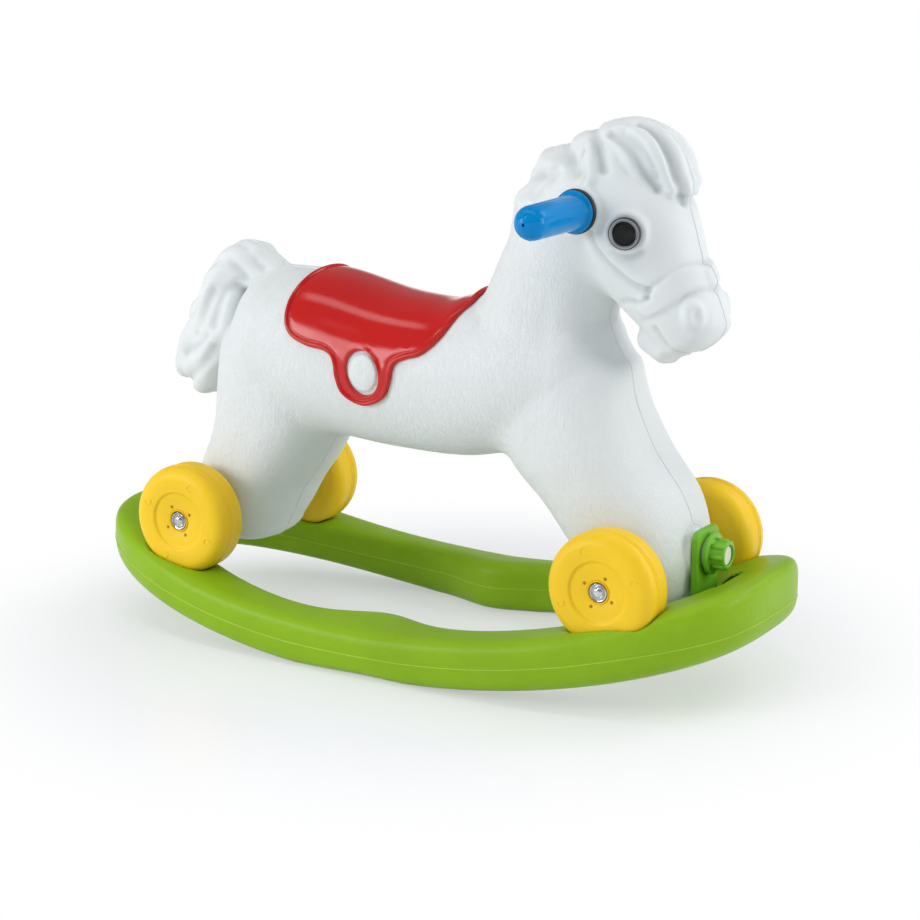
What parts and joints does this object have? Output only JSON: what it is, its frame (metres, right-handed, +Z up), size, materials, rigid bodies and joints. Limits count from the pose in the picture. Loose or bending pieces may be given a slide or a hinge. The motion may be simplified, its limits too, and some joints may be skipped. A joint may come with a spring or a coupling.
{
  "type": "ride on horse on wheels",
  "caption": "Moulded toy horse with a shell saddle, side grips and rolling wheels, standing in the wells of a detachable curved rocker ring that screw knobs hold on.",
  "frame": {"origin": "on the floor under the middle of the rocker ring", "axes": "+X the way the horse faces, +Y to the horse's left, +Z up"},
  "size_m": [0.704, 0.304, 0.516],
  "materials": {
    "body_white": "satin, fine leather grain",
    "saddle_red": "gloss",
    "grip_blue": "gloss",
    "trim_grey": "satin",
    "eye_black": "gloss",
    "eye_clear": "clear gloss",
    "wheel_yellow": "satin",
    "hub_yellow": "satin",
    "steel": "bright zinc",
    "cap_chrome": "polished",
    "rocker_green": "satin",
    "fixing_green": "semi gloss",
    "nylon_white": "satin"
  },
  "bodies": {
    "horse_on_rocker": {"horse_body": "body_white", "saddle": "saddle_red", "handle_bar": "steel", "right_grip": "grip_blue", "left_grip": "grip_blue", "grip_rings": "trim_grey", "right_eye_ring": "trim_grey", "left_eye_ring": "trim_grey", "right_eye_pupil": "eye_black", "left_eye_pupil": "eye_black", "right_eye_lens": "eye_clear", "left_eye_lens": "eye_clear", "front_axle": "steel", "rear_axle": "steel", "front_leg_bushes": "nylon_white", "rear_leg_bushes": "nylon_white", "axle_washers": "steel", "axle_caps": "cap_chrome", "rocker": "rocker_green", "front_bracket": "fixing_green", "rear_bracket": "fixing_green", "bracket_screws": "steel", "front_insert": "nylon_white", "rear_insert": "nylon_white", "front_stud": "nylon_white", "rear_stud": "nylon_white"},
    "front_right_wheel": {"front_right_wheel": "wheel_yellow", "front_right_hub": "hub_yellow"},
    "front_left_wheel": {"front_left_wheel": "wheel_yellow", "front_left_hub": "hub_yellow"},
    "rear_right_wheel": {"rear_right_wheel": "wheel_yellow", "rear_right_hub": "hub_yellow"},
    "rear_left_wheel": {"rear_left_wheel": "wheel_yellow", "rear_left_hub": "hub_yellow"},
    "front_knob_washer": {"front_knob_washer": "nylon_white"},
    "front_knob": {"front_knob": "fixing_green"},
    "rear_knob_washer": {"rear_knob_washer": "nylon_white"},
    "rear_knob": {"rear_knob": "fixing_green"}
  },
  "joints": [
    {"name": "front_right_wheel_roll", "type": "hinge", "parent": "horse_on_rocker", "child": "front_right_wheel", "pos_m": [0.234, 0, 0.113], "axis": [0, 1, 0], "continuous": true},
    {"name": "front_left_wheel_roll", "type": "hinge", "parent": "horse_on_rocker", "child": "front_left_wheel", "pos_m": [0.234, 0, 0.113], "axis": [0, 1, 0], "continuous": true},
    {"name": "rear_right_wheel_roll", "type": "hinge", "parent": "horse_on_rocker", "child": "rear_right_wheel", "pos_m": [-0.226, 0, 0.113], "axis": [0, 1, 0], "continuous": true},
    {"name": "rear_left_wheel_roll", "type": "hinge", "parent": "horse_on_rocker", "child": "rear_left_wheel", "pos_m": [-0.226, 0, 0.113], "axis": [0, 1, 0], "continuous": true},
    {"name": "front_knob_travel", "type": "slide", "parent": "horse_on_rocker", "child": "front_knob_washer", "axis": [1, 0, 0], "range_m": [0, 0.012]},
    {"name": "front_knob_turn", "type": "hinge", "parent": "front_knob_washer", "child": "front_knob", "pos_m": [0.296, 0, 0.127], "axis": [1, 0, 0], "range_deg": [0, 1082]},
    {"name": "rear_knob_travel", "type": "slide", "parent": "horse_on_rocker", "child": "rear_knob_washer", "axis": [-1, 0, 0], "range_m": [0, 0.012]},
    {"name": "rear_knob_turn", "type": "hinge", "parent": "rear_knob_washer", "child": "rear_knob", "pos_m": [-0.296, 0, 0.111], "axis": [-1, 0, 0], "range_deg": [0, 1082]}
  ],
  "couplings": [
    {"joint": "front_knob_turn", "follows": "front_knob_travel", "rad_per_m": 1570.8},
    {"joint": "rear_knob_turn", "follows": "rear_knob_travel", "rad_per_m": 1570.8}
  ]
}
